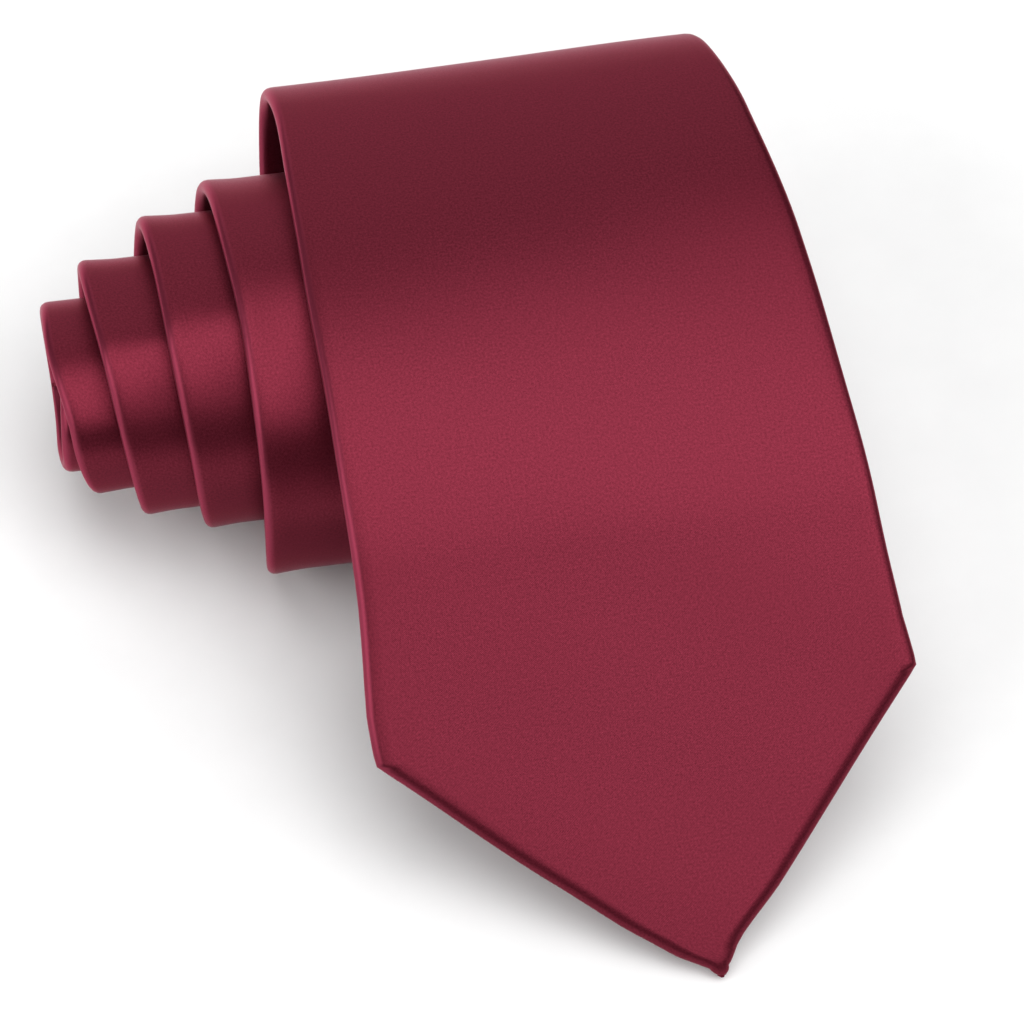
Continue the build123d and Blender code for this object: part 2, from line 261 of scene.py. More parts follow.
# Where the real turns stand out from the plain spiral: (turn, millimetres, spread in turns).
SWELLS = (
    (0.08, 0.6, 0.12),
    (0.66, 1.5, 0.08),
    (1.12, -0.7, 0.10),
    (1.66, 0.3, 0.08),
    (2.12, 0.8, 0.10),
    (2.66, 1.0, 0.08),
    (3.12, 0.2, 0.10),
    (3.66, 0.5, 0.08),
    (4.12, -0.6, 0.10),
)
TOP_TILT = 1.7  # how much more the right end of the outer turn's top is raised
LIP = 0.35  # each inner turn's left edge curls out
LIP_WIDTH = 7.0
CORNER_DENT = 0.12  # the blade's corners are pulled in

# How far the strip lies to the right of the plain spiral: (along, millimetres).
SHIFTS = (
    (205.0, 0.0), (236.0, -3.0), (262.0, -3.0), (318.0, 0.0), (560.0, 0.0), (604.0, -1.6),
    (640.0, 0.6), (664.0, 2.1), (680.0, 0.4), (697.0, -1.4), (712.0, -1.2), (737.0, -0.2),
    (752.0, 0.9), (770.0, 2.4), (800.0, 3.2), (835.0, 4.2), (900.0, 4.2),
)
# What each side has beyond the plain taper: (along, millimetres).
FULLNESS = {
    -1: ((0.0, 0.0), (5.0, 2.1), (10.0, 2.8), (18.0, 2.6), (39.5, 1.3), (62.0, 0.0), (120.0, 0.0),
         (150.0, -0.6)),
    1: ((1.3, 0.0), (5.0, -0.9), (12.0, 0.0), (110.0, 0.0), (134.0, -1.3), (152.0, -2.0)),
}
TURNED_SHEAR_FROM = 46.0  # the point is square to its own line, the roll to the axis
TURNED_SHEAR_TO = 64.0


def looseness(along):
    """How far the cloth may wander from the path: full on the ramp, small between tight turns."""
    turn = station(along)[5]
    free = 0.5 + 0.5 * math.cos(2 * math.pi * turn)
    if along < 150:
        return 1.0
    return (0.12 + 0.6 * free) * (1 - 0.8 * smooth(turn, 2.5, 4.0))


def shoulder(along, across):
    """Outward bulges: squared front shoulders, raised tops and curled left edges."""
    turn = station(along)[5]
    swell = sum(size * bump_at(turn, at, spread) for at, size, spread in SWELLS)
    swell += TOP_TILT * bump_at(turn, 0.08, 0.12) * smooth(across, -35.0, 35.0)
    inner = smooth(turn, 1.3, 1.7) * (1 - smooth(turn, 3.6, 4.0))
    fraction = (turn + 0.5) % 1.0 - 0.5
    swell += inner * SHOULDER_BULGE * bump_at(fraction, SHOULDER_AT, SHOULDER_SPAN)
    from_left = across + half_width(min(max(along, TIP_LENGTH), TAIL_CORNER_AT))
    curl = LIP * smooth(turn, 0.5, 0.6) * (1 - smooth(turn, 3.8, 4.2))
    return swell + curl * (1 - smooth(from_left, 0.0, LIP_WIDTH))


def wander(along, across):
    """Small swells of the padded cloth, towards its front face."""
    swell = 0.13 * math.sin(along / 13.1 + 0.6) * math.cos(across / 15.0 + along / 60)
    swell += 0.025 * math.sin(along / 5.3 + across / 7.7)
    swell += 0.02 * math.sin(across / 4.9 - along / 17.0)
    return swell * looseness(along)


def edge_wave(side, along):
    """How far an edge wanders sideways."""
    phase = 1.9 * side
    wave = 0.13 * math.sin(along / 11.3 + phase) + 0.06 * math.sin(along / 4.4 + 2.1 * phase)
    return wave * smooth(along, 0.0, 12.0)


def drift(along):
    """Sideways shift of the whole strip."""
    return TIP_DRIFT * max(1 - along / HEM_CORNER_AT, 0.0) + eased(SHIFTS, along)


def cloth_half_width(side, along):
    """Half width to one side, with its fullness; plain, and so a step wider, past the tail's corner."""
    if along > TAIL_CORNER_AT:
        return half_width(along)
    straight = BLADE_WIDTH / 2 * min(along / TIP_LENGTH, 1.0)
    if along < NOSE:
        straight = math.sqrt(NOSE ** 2 - (NOSE - along) ** 2)
    elif along >= TIP_LENGTH:
        straight = half_width(along)
    corner = CORNER_DENT * bump_at(along, TIP_LENGTH, 1.0)
    return straight - corner + eased(FULLNESS[side], along) + edge_wave(side, along)


def cloth_half_thickness(along):
    """The strip's padded half thickness; it rounds off at both ends."""
    start = min(along / (2 * EDGE_ROUND), 1.0)
    end = min((TOTAL_LENGTH - along) / EDGE_ROUND, 1.0)
    return TOP * math.sqrt(max(1 - (1 - start) ** 2, 0.0)) * math.sqrt(max(1 - (1 - end) ** 2, 0.0))


def place(along, across, lift):
    """Point in metres of the rolled tie, from its place on the flat strip."""
    across_now = across + drift(along)
    lift += wander(along, across) + shoulder(along, across)
    if along < TURNED_SHEAR_TO:
        angle = math.atan(skew(RAMP_START))
        turned = 1 - smooth(along, TURNED_SHEAR_FROM, TURNED_SHEAR_TO)
        x_turned = POINT_X - along * math.sin(angle) + across_now * math.cos(angle)
        run_turned = along * math.cos(angle) + across_now * math.sin(angle)
        x_plain = station(along)[0] + across_now
        x = x_plain + (x_turned - x_plain) * turned
        run = along + (run_turned - along) * turned
        _, y, z, ny, nz, _ = station(run)
    else:
        x, y, z, ny, nz, _ = station(along)
        x += across_now
    return Vector((x, y + ny * lift, z + nz * lift)) * MM


# ---- Mesh helpers ----
UV_SCALE = 0.1  # one UV unit is 10 mm of cloth


def make_object(name, points, faces, flat=None, merge=0.0, rim_highlights=None):
    """Smooth mesh object; flat gives each point's place on the flat cloth, for the weave."""
    mesh = bpy.data.meshes.new(name)
    mesh.from_pydata(points, [], faces)
    if flat:
        layer = mesh.uv_layers.new(name="weave")
        for loop in mesh.loops:
            across, along = flat[loop.vertex_index]
            layer.data[loop.index].uv = (across * UV_SCALE, along * UV_SCALE)
    # painted highlight on the left rim, kept per point in the fold colour attribute
    if rim_highlights:
        highlight_layer = mesh.color_attributes.new("fold", "FLOAT_COLOR", "POINT")
        for place_on, value in zip(highlight_layer.data, rim_highlights):
            place_on.color = (value, value, value, 1.0)
    if merge:
        work = bmesh.new()
        work.from_mesh(mesh)
        bmesh.ops.remove_doubles(work, verts=work.verts, dist=merge)
        work.to_mesh(mesh)
        work.free()
    mesh.polygons.foreach_set("use_smooth", [True] * len(mesh.polygons))
    obj = bpy.data.objects.new(name, mesh)
    bpy.context.scene.collection.objects.link(obj)
    return obj


def outward(obj):
    work = bmesh.new()
    work.from_mesh(obj.data)
    bmesh.ops.recalc_face_normals(work, faces=work.faces)
    work.to_mesh(obj.data)
    work.free()
    return obj


def grid_faces(rows, columns, ring=False, offset=0):
    faces = []
    for i in range(rows - 1):
        for j in range(columns if ring else columns - 1):
            a, b = offset + i * columns + j, offset + i * columns + (j + 1) % columns
            faces.append((a, a + columns, b + columns, b))
    return faces


def spaced(start, end, step):
    count = max(2, math.ceil((end - start) / step) + 1)
    return [start + (end - start) * i / (count - 1) for i in range(count)]


ROW_STEP = 1.5
CLOSE_ROW_STEP = 0.5  # near the blade's point and its corners
NOSE_ROW_STEP = 0.13
POINT_ZONE = 4.0
CORNER_ZONE = 3.0
TIGHT_ROWS = ((450.0, 1.1), (680.0, 0.8))  # (along, row step) from where the turns get smaller


def strip_rows(start, end):
    """Places of the rows: closer where the strip turns tightly, and at the blade's point and corners."""
    corner_start, corner_end = TIP_LENGTH - CORNER_ZONE, TIP_LENGTH + CORNER_ZONE
    marks = [NOSE, POINT_ZONE, corner_start, corner_end, *(at for at, _ in TIGHT_ROWS)]
    marks = [mark for mark in marks if start < mark < end]
    rows = []
    for low, high in zip([start, *marks], [*marks, end]):
        step = ROW_STEP
        if high <= POINT_ZONE or corner_start <= low < corner_end:
            step = CLOSE_ROW_STEP
        if high <= NOSE:
            step = NOSE_ROW_STEP
        for at, tight_step in TIGHT_ROWS:
            if low >= at:
                step = tight_step
        rows += spaced(low, high, step)[:-1]
    return [*rows, end]


# ---- The self fabric, folded round both edges ----
FRONT_COLUMNS = 40
FLAP_COLUMNS = 12
EDGE_COLUMNS = 8
FRONT_SPREAD = 0.12  # how much closer the front's columns stand near its sides
SLIT_CLEARANCE = 0.12
HEM_ROUNDING = 2.0  # times as far in as at the long edges
SHOWN_THICKNESS = 0.38
SEAM_DIP = 0.8  # part of its height that the cloth keeps beside a joining seam
SEAM_DIP_LENGTH = 1.5
RIM_HIGHLIGHT_ALONG = (25.0, 50.0)  # painted highlight: the left fold's paler edge, standing for light on the rim, fades in over this length
RIM_HIGHLIGHT_ACROSS = (0.3, 1.4)  # and fades out over this width
MERGE_DISTANCE = 2e-6


def cloth_section(along):
    """(across, lift, place on the flat cloth) from the right flap's fold round to the left one's."""
    thick = cloth_half_thickness(along)
    window = slit_half(along) + SLIT_CLEARANCE
    sides = {}
    for side in (-1, 1):
        half = max(cloth_half_width(side, along), 0.0)
        widening = HEM_ROUNDING if along < TIP_LENGTH else 1.0
        rounding = min(EDGE_ROUND * widening, 0.8 * half)
        open_at = min(window, half - rounding)
        flap = [(open_at, -thick + 0.2 * min(thick, 1)), (open_at + 0.08, -thick + 0.06)]
        for i in range(FLAP_COLUMNS):
            part = i / (FLAP_COLUMNS - 1)
            flap.append((open_at + 0.2 + (half - rounding - open_at - 0.2) * part, -thick))
        for i in range(1, EDGE_COLUMNS):
            angle = -math.pi / 2 + math.pi * i / EDGE_COLUMNS
            flap.append((half - rounding + rounding * math.cos(angle), thick * math.sin(angle)))
        sides[side] = (flap, half - rounding, half)
    right, right_front, right_half = sides[1]
    left, left_front, left_half = sides[-1]
    section = list(right)
    for i in range(FRONT_COLUMNS + 1):
        part = i / FRONT_COLUMNS
        spread = part - FRONT_SPREAD * math.sin(2 * math.pi * part) / (2 * math.pi)
        across = right_front - (right_front + left_front) * spread
        section.append((across, thick))
    section += [(-across, lift) for across, lift in reversed(left)]
    flat, run = [], 0.0
    for here, nxt in zip(section, section[1:] + section[-1:]):
        flat.append(run)
        run += math.dist(here, nxt)
    middle = run / 2
    return [(a, l, f - middle) for (a, l), f in zip(section, flat)]


def self_fabric_piece(name, start, end, dips):
    """One section of the tie's outer cloth; dips names the ends that dip to a joining seam."""
    points, flat, rim_highlights, rows = [], [], [], strip_rows(start, end)
    area = widest = 0.0
    for i, along in enumerate(rows):
        section = cloth_section(along)
        dip = 1.0
        if "start" in dips:
            dip = min(dip, SEAM_DIP + (1 - SEAM_DIP) * smooth(along, start, start + SEAM_DIP_LENGTH))
        if "end" in dips:
            dip = min(dip, SEAM_DIP + (1 - SEAM_DIP) * smooth(-along, -end, -end + SEAM_DIP_LENGTH))
        for across, lift, cut in section:
            points.append(place(along, across, lift * dip))
            flat.append((cut, along))
            # painted highlight: paler colour near the left fold, standing for light caught on the rim
            from_fold = across + cloth_half_width(-1, along)
            rim_highlights.append(smooth(along, *RIM_HIGHLIGHT_ALONG) * (1 - smooth(from_fold, *RIM_HIGHLIGHT_ACROSS)))
        cut_width = section[-1][2] - section[0][2]
        widest = max(widest, cut_width)
        if i:
            area += (along - rows[i - 1]) * cut_width
    faces = grid_faces(len(rows), len(section))
    obj = make_object(name, points, faces, flat, merge=MERGE_DISTANCE, rim_highlights=rim_highlights)
    solid = obj.modifiers.new("cloth_thickness", "SOLIDIFY")
    solid.thickness = SHOWN_THICKNESS * MM
    solid.offset = -1.0
    flat_size = (widest * MM, (end - start) * MM)
    return obj, flat_size, area * MM * MM


# ---- Slabs, threads and other closed pieces ----
def slab(name, places, section, close=0.5):
    """Closed ring of section(along) points run through the places, with rounded-off ends."""
    points, flat = [], []
    first, last = places[0], places[-1]
    for along in places:
        near = min(along - first, last - along) / close
        squeeze = math.sqrt(max(1 - (1 - min(near, 1.0)) ** 2, 0.04))
        ring = section(along)
        centre = sum(lift for _, lift in ring) / len(ring)
        for across, lift in ring:
            points.append(place(along, across, centre + (lift - centre) * squeeze))
            flat.append((across, along))
    count = len(ring)
    faces = grid_faces(len(places), count, ring=True)
    faces.append(tuple(range(count)))
    faces.append(tuple(reversed(range(len(points) - count, len(points)))))
    return outward(make_object(name, points, faces, flat))


def rounded_ring(left, right, low, high, columns):
    """Ring of a thin slab between two sides, rounded at both of them."""
    radius = (high - low) / 2
    middle = (high + low) / 2
    ring = []
    for i in range(columns + 1):
        ring.append((left + radius + (right - left - 2 * radius) * i / columns, high))
    for angle in (60, 30, 0, -30, -60):
        turn = math.radians(angle)
        ring.append((right - radius + radius * math.cos(turn), middle + radius * math.sin(turn)))
    for i in range(columns + 1):
        ring.append((right - radius - (right - left - 2 * radius) * i / columns, low))
    for angle in (-60, -30, 0, 30, 60):
        turn = math.radians(angle)
        ring.append((left + radius - radius * math.cos(turn), middle + radius * math.sin(turn)))
    return ring


THREAD_SIDES = 8


def thread_piece(name, strands, radius):
    """Round threads through lists of points in metres, each with closed, rounded ends."""
    points, faces, flat = [], [], []
    for strand in strands:
        base = len(points)
        run = 0.0
        for i, here in enumerate(strand):
            before, after = strand[max(i - 1, 0)], strand[min(i + 1, len(strand) - 1)]
            direction = (after - before).normalized()
            side = direction.cross(Vector((0.3, 0.2, 0.93))).normalized()
            up = side.cross(direction)
            end = min(i, len(strand) - 1 - i)
            size = radius * MM * (0.55 if end == 0 else 1.0)
            for j in range(THREAD_SIDES):
                angle = 2 * math.pi * j / THREAD_SIDES
                points.append(here + (side * math.cos(angle) + up * math.sin(angle)) * size)
                flat.append((j / THREAD_SIDES, run / MM))
            run += (after - here).length
        faces += grid_faces(len(strand), THREAD_SIDES, ring=True, offset=base)
        faces.append(tuple(range(base, base + THREAD_SIDES)))
        faces.append(tuple(reversed(range(len(points) - THREAD_SIDES, len(points)))))
    return outward(make_object(name, points, faces, flat))


def arched(start, end, rise, count=7):
    """Places of a stitch from start to end, both (along, across, lift), bowed out by rise."""
    stitch = []
    for i in range(count):
        part = i / (count - 1)
        bow = rise * math.sin(math.pi * part)
        along, across, lift = (a + (b - a) * part for a, b in zip(start, end))
        stitch.append(place(along, across, lift - bow))
    return stitch


# ---- Materials; colours in linear light ----
SATIN_DARK = (0.070, 0.0060, 0.0125)
SATIN_LIGHT = (0.190, 0.0210, 0.0400)
SATIN_DRIFT = (0.134, 0.0125, 0.0250)
SATIN_SLUB = (0.112, 0.0104, 0.0215)
# painted highlight colour, lighter satin standing for light caught on the left fold's rim
SATIN_RIM_HIGHLIGHT = (0.300, 0.040, 0.078)
LINING_DARK = (0.085, 0.006, 0.014)
LINING_LIGHT = (0.160, 0.012, 0.028)
LINING_PATCH = (0.120, 0.010, 0.024)
WOOL_DARK = (0.52, 0.49, 0.42)
WOOL_LIGHT = (0.78, 0.75, 0.68)
THREAD_DARK = (0.11, 0.008, 0.018)
THREAD_LIGHT = (0.26, 0.028, 0.055)
TAPE_DARK = (0.018, 0.018, 0.021)
TAPE_LIGHT = (0.042, 0.042, 0.049)
BORDER_DARK = (0.08, 0.006, 0.015)
BORDER_LIGHT = (0.20, 0.018, 0.04)
FLOOR_DARK = (0.92, 0.92, 0.92)
FLOOR_LIGHT = (0.94, 0.94, 0.94)
LABEL_SIDE_BORDER = 3.2
LABEL_END_BORDER = 2.4


def ramp(tree, source, stops):
    made = tree.nodes.new("ShaderNodeValToRGB")
    while len(made.color_ramp.elements) < len(stops):
        made.color_ramp.elements.new(0.5)
    for element, (position, colour) in zip(made.color_ramp.elements, stops):
        element.position = position
        element.color = (*colour, 1.0)
    tree.links.new(source, made.inputs[0])
    return made.outputs[0]


def noise(tree, vector, scale, detail=3.0, roughness=0.55):
    made = tree.nodes.new("ShaderNodeTexNoise")
    made.inputs["Scale"].default_value = scale
    made.inputs["Detail"].default_value = detail
    made.inputs["Roughness"].default_value = roughness
    tree.links.new(vector, made.inputs["Vector"])
    return made.outputs["Fac"]


def bands(tree, vector, scale, direction, distortion):
    made = tree.nodes.new("ShaderNodeTexWave")
    made.bands_direction = direction
    made.inputs["Scale"].default_value = scale
    made.inputs["Distortion"].default_value = distortion
    made.inputs["Detail"].default_value = 2.0
    tree.links.new(vector, made.inputs["Vector"])
    return made.outputs["Fac"]


def maths(tree, operation, one, other):
    made = tree.nodes.new("ShaderNodeMath")
    made.operation = operation
    for socket, value in zip(made.inputs, (one, other)):
        if isinstance(value, (int, float)):
            socket.default_value = value
        else:
            tree.links.new(value, socket)
    return made.outputs[0]


def mix_colour(tree, factor, one, other):
    made = tree.nodes.new("ShaderNodeMix")
    made.data_type = "RGBA"
    for socket, value in ((made.inputs[0], factor), (made.inputs[6], one), (made.inputs[7], other)):
        if isinstance(value, (int, float)):
            socket.default_value = value
        elif isinstance(value, tuple):
            socket.default_value = (*value, 1.0)
        else:
            tree.links.new(value, socket)
    return made.outputs[2]


def start_material(name):
    material = bpy.data.materials.new(name)
    material.use_nodes = True
    tree = material.node_tree
    shader = tree.nodes["Principled BSDF"]
    weave = tree.nodes.new("ShaderNodeUVMap")
    weave.uv_map = "weave"
    place_in_space = tree.nodes.new("ShaderNodeTexCoord").outputs["Object"]
    return material, tree, shader, weave.outputs["UV"], place_in_space


def set_bump(tree, shader, height, distance, strength):
    made = tree.nodes.new("ShaderNodeBump")
    made.inputs["Strength"].default_value = strength
    made.inputs["Distance"].default_value = distance
    tree.links.new(height, made.inputs["Height"])
    tree.links.new(made.outputs[0], shader.inputs["Normal"])


def turned(tree, vector, degrees, scale=(1.0, 1.0, 1.0)):
    made = tree.nodes.new("ShaderNodeMapping")
    made.inputs["Rotation"].default_value = (0.0, 0.0, math.radians(degrees))
    made.inputs["Scale"].default_value = scale
    tree.links.new(vector, made.inputs["Vector"])
    return made.outputs[0]


def satin_material():
    """Burgundy satin cut on the bias: diagonal floats, slubs, drifts of colour and a painted highlight
    along the left fold.
    """
    material, tree, shader, weave, space = start_material("burgundy_satin")
    diagonal = turned(tree, weave, 45)
    floats = bands(tree, diagonal, 16.0, "X", 1.2)
    slubs = noise(tree, turned(tree, weave, 45, (40.0, 3.0, 1.0)), 1.6, 4.0)
    grain = noise(tree, weave, 28.0, 5.0, 0.7)
    drifts = noise(tree, space, 45.0, 2.0)
    colour = ramp(tree, grain, ((0.3, SATIN_DARK), (0.7, SATIN_LIGHT)))
    colour = mix_colour(tree, maths(tree, "MULTIPLY", drifts, 0.4), colour, SATIN_DRIFT)
    colour = mix_colour(tree, maths(tree, "MULTIPLY", slubs, 0.3), colour, SATIN_SLUB)
    # painted highlight: base colour lightened along the left fold, in place of light on the rim
    fold = tree.nodes.new("ShaderNodeAttribute")
    fold.attribute_name = "fold"
    rim_light = maths(tree, "MULTIPLY", fold.outputs["Fac"], 0.75)
    colour = mix_colour(tree, rim_light, colour, SATIN_RIM_HIGHLIGHT)
    tree.links.new(colour, shader.inputs["Base Color"])
    rough = maths(tree, "ADD", maths(tree, "MULTIPLY", slubs, 0.10), 0.27)
    tree.links.new(rough, shader.inputs["Roughness"])
    shader.inputs["Metallic"].default_value = 0.7
    shader.inputs["Specular IOR Level"].default_value = 0.3
    shader.inputs["Specular Tint"].default_value = (1.0, 0.36, 0.46, 1.0)
    shader.inputs["Sheen Weight"].default_value = 0.03
    shader.inputs["Sheen Roughness"].default_value = 0.4
    shader.inputs["Sheen Tint"].default_value = (1.0, 0.5, 0.62, 1.0)
    height = maths(tree, "ADD", maths(tree, "MULTIPLY", floats, 0.5), maths(tree, "MULTIPLY", grain, 1.1))
    set_bump(tree, shader, height, 0.00004, 0.3)
    return material


def lining_material():
    """Smooth plain-woven lining, a shade deeper than the satin."""
    material, tree, shader, weave, space = start_material("tipping_lining")
    warp = bands(tree, weave, 14.0, "X", 0.4)
    weft = bands(tree, weave, 14.0, "Y", 0.4)
    cross = maths(tree, "MULTIPLY", warp, weft)
    patches = noise(tree, space, 60.0)
    colour = ramp(tree, cross, ((0.0, LINING_DARK), (1.0, LINING_LIGHT)))
    colour = mix_colour(tree, maths(tree, "MULTIPLY", patches, 0.4), colour, LINING_PATCH)
    tree.links.new(colour, shader.inputs["Base Color"])
    rough = maths(tree, "ADD", maths(tree, "MULTIPLY", patches, 0.15), 0.32)
    tree.links.new(rough, shader.inputs["Roughness"])
    shader.inputs["Sheen Weight"].default_value = 0.15
    set_bump(tree, shader, cross, 0.00005, 0.5)
    return material


def wool_material():
    """Brushed wool blend of the interlining, pale and fuzzy."""
    material, tree, shader, weave, space = start_material("brushed_wool")
    warp = bands(tree, weave, 7.0, "X", 2.5)
    weft = bands(tree, weave, 7.0, "Y", 2.5)
    fibres = noise(tree, space, 900.0, 5.0, 0.7)
    cross = maths(tree, "ADD", maths(tree, "MULTIPLY", warp, weft), fibres)
    colour = ramp(tree, cross, ((0.2, WOOL_DARK), (1.3, WOOL_LIGHT)))
    tree.links.new(colour, shader.inputs["Base Color"])
    rough = maths(tree, "ADD", maths(tree, "MULTIPLY", fibres, 0.15), 0.8)
    tree.links.new(rough, shader.inputs["Roughness"])
    shader.inputs["Sheen Weight"].default_value = 0.5
    set_bump(tree, shader, cross, 0.0003, 0.7)
    return material


def thread_material():
    """Two-ply sewing thread: the twist runs slantwise round each strand."""
    material, tree, shader, weave, space = start_material("sewing_thread")
    twist = bands(tree, turned(tree, weave, 35), 3.4, "X", 0.6)
    fluff = noise(tree, space, 1500.0, 4.0)
    shade = maths(tree, "ADD", maths(tree, "MULTIPLY", twist, 0.7), maths(tree, "MULTIPLY", fluff, 0.3))
    colour = ramp(tree, shade, ((0.1, THREAD_DARK), (0.9, THREAD_LIGHT)))
    tree.links.new(colour, shader.inputs["Base Color"])
    rough = maths(tree, "ADD", maths(tree, "MULTIPLY", fluff, 0.2), 0.42)
    tree.links.new(rough, shader.inputs["Roughness"])
    shader.inputs["Sheen Weight"].default_value = 0.3
    set_bump(tree, shader, shade, 0.00008, 0.8)
    return material


def label_material():
    """Woven label: dark ribbed tape with a burgundy border and a plain centre, no lettering."""
    material, tree, shader, weave, space = start_material("label_weave")
    ribs = bands(tree, weave, 9.0, "Y", 0.3)
    picks = bands(tree, weave, 14.0, "X", 0.3)
    parts = tree.nodes.new("ShaderNodeSeparateXYZ")
    tree.links.new(weave, parts.inputs[0])
    from_middle = maths(tree, "ABSOLUTE", parts.outputs[0], 0.0)
    middle_along = (LABEL_AT + LABEL_LENGTH / 2) * UV_SCALE
    down = maths(tree, "ABSOLUTE", maths(tree, "SUBTRACT", parts.outputs[1], middle_along), 0.0)
    border_x = maths(tree, "GREATER_THAN", from_middle, (LABEL_SPAN / 2 - LABEL_SIDE_BORDER) * UV_SCALE)
    border_y = maths(tree, "GREATER_THAN", down, (LABEL_LENGTH / 2 - LABEL_END_BORDER) * UV_SCALE)
    border = maths(tree, "MAXIMUM", border_x, border_y)
    fuzz = noise(tree, space, 700.0, 4.0)
    shade = maths(tree, "ADD", maths(tree, "MULTIPLY", ribs, 0.6), maths(tree, "MULTIPLY", fuzz, 0.4))
    tape = ramp(tree, shade, ((0.1, TAPE_DARK), (0.9, TAPE_LIGHT)))
    edging = ramp(tree, shade, ((0.1, BORDER_DARK), (0.9, BORDER_LIGHT)))
    colour = mix_colour(tree, border, tape, edging)
    tree.links.new(colour, shader.inputs["Base Color"])
    rough = maths(tree, "ADD", maths(tree, "MULTIPLY", fuzz, 0.2), 0.45)
    tree.links.new(rough, shader.inputs["Roughness"])
    height = maths(tree, "ADD", ribs, maths(tree, "MULTIPLY", picks, 0.5))
    set_bump(tree, shader, height, 0.00012, 0.7)
    return material


SATIN = satin_material()
TIPPING = lining_material()
WOOL = wool_material()
SEWING = thread_material()
LABEL = label_material()


def finish_piece(obj, material, slot, *nodes):
    obj.data.materials.clear()
    obj.data.materials.append(material)
    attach(obj, "root")
    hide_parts(*nodes)
    return obj


# ---- The pieces ----
BAND_HEIGHT = 0.78  # part of the strip's height at the joining seams
BAND_OVERLAP = 0.25
BAND_ROW_STEP = 0.2
BAND_THICKNESS = 0.3
INNER_CLEARANCE = 0.45
HEM_CLEARANCE = 2.2  # times the clearance beside the blade's hems
LEAST_INNER_HALF = 0.15
INTERLINING_END = 2.5
INTERLINING_STEP = 1.6
TIPPING_START = 2.5
TIPPING_END = 2.2
TIPPING_STEP = 1.2
PAST_FLAPS = 5.0  # how far the tippings reach past where the flaps meet
HEM_STITCH_IN = 0.35
HEM_STITCH_OUT = 0.75
HEM_STITCH_SLANT = 0.45
HEM_STITCH_RISE = 0.28
BLADE_HEM_PITCH = 3.2
TAIL_HEM_PITCH = 2.4
SLIP_PITCH = 9.0
SLIP_REACH = 0.62
SLIP_RISE = -0.12
SLIP_LIFT = 0.06
TACK_GAP = 2.0  # from where the flaps meet to the bar tacks
TACK_BARS = 7
TACK_RADIUS = 0.095
STITCH_RADIUS = 0.11
STITCH_MARGIN = 0.8
STITCH_RISE = 0.15
PIECE_STEP = 0.6
KEEPER_PITCH = 1.3
LABEL_PITCH = 1.5
LABEL_STITCH_IN = 1.2


def build_shells():
    for name, node_name, start, end, dips in (
        ("blade_cloth", "blade_shell", 0.0, BLADE_SEAM_AT, ("end",)),
        ("neck_cloth", "neck_shell", BLADE_SEAM_AT + SEAM_LENGTH, TAIL_SEAM_AT, ("start", "end")),
        ("tail_cloth", "tail_shell", TAIL_SEAM_AT + SEAM_LENGTH, TOTAL_LENGTH, ("start",)),
    ):
        obj, flat_size, area = self_fabric_piece(name, start, end, dips)
        finish_piece(obj, SATIN, "self_fabric", node_name)


def build_piecing_seam(name, node_name, start):
    """The turned-in cloth between two sections, a thin band sunk a little below their faces."""
    def section(along):
        return [(a, lift * BAND_HEIGHT) for a, lift, _ in cloth_section(along)]

    points, flat = [], []
    rows = spaced(start - BAND_OVERLAP, start + SEAM_LENGTH + BAND_OVERLAP, BAND_ROW_STEP)
    for along in rows:
        for across, lift in section(along):
            points.append(place(along, across, lift))
            flat.append((across, along))
    obj = make_object(name, points, grid_faces(len(rows), len(section(start))), flat)
    solid = obj.modifiers.new("cloth_thickness", "SOLIDIFY")
    solid.thickness = BAND_THICKNESS * MM
    solid.offset = -1.0
    return finish_piece(obj, SATIN, "self_fabric", node_name)


def inner_half(along):
    """Half width of what lies inside the folded cloth."""
    left = cloth_half_width(-1, along)
    right = cloth_half_width(1, along)
    clearance = INNER_CLEARANCE * (HEM_CLEARANCE if along < TIP_LENGTH else 1.0)
    return max(min(left, right) - CLOTH - clearance, LEAST_INNER_HALF)


def build_interlining():
    low = BOTTOM + CLOTH + LINING + 2 * AIR
    high = TOP - CLOTH - AIR
    places = spaced(INTERLINING_END, TOTAL_LENGTH - INTERLINING_END, INTERLINING_STEP)
    obj = slab("wool_interlining", places,
               lambda along: rounded_ring(-inner_half(along), inner_half(along), low, high, 10))
    finish_piece(obj, WOOL, "wool_interlining", "interlining")


def build_tipping(name, node_name, start, end):
    low = BOTTOM + CLOTH + AIR
    places = spaced(start, end, TIPPING_STEP)

    def section(along):
        half = inner_half(along)
        ring = rounded_ring(-half, half, low, low + LINING, 24)
        return [(a, lift + 0.05 * math.sin(a / 2.9 + along / 5.1)) for a, lift in ring]

    obj = slab(name, places, section)
    finish_piece(obj, TIPPING, "tipping_lining", node_name)


def hem_stitches(name, node_name, lines, pitch):
    """Slanted hand stitches that hold the lining to the hem, from (along, across) to (along, across)."""
    strands = []
    for (along_a, across_a), (along_b, across_b) in lines:
        length = math.dist((along_a, across_a), (along_b, across_b))
        out = math.copysign(1.0, across_a + across_b)
        count = int(length / pitch)
        for i in range(count):
            part = (i + 0.3) / count
            along = along_a + (along_b - along_a) * part
            across = across_a + (across_b - across_a) * part
            begin = (along, across - HEM_STITCH_IN * out, BOTTOM + CLOTH)
            end = (along + HEM_STITCH_SLANT * pitch, across + HEM_STITCH_OUT * out, BOTTOM + 0.08)
            strands.append(arched(begin, end, HEM_STITCH_RISE))
    obj = thread_piece(name, strands, THREAD / 2 * 0.8)
    finish_piece(obj, SEWING, "sewing_thread", node_name)


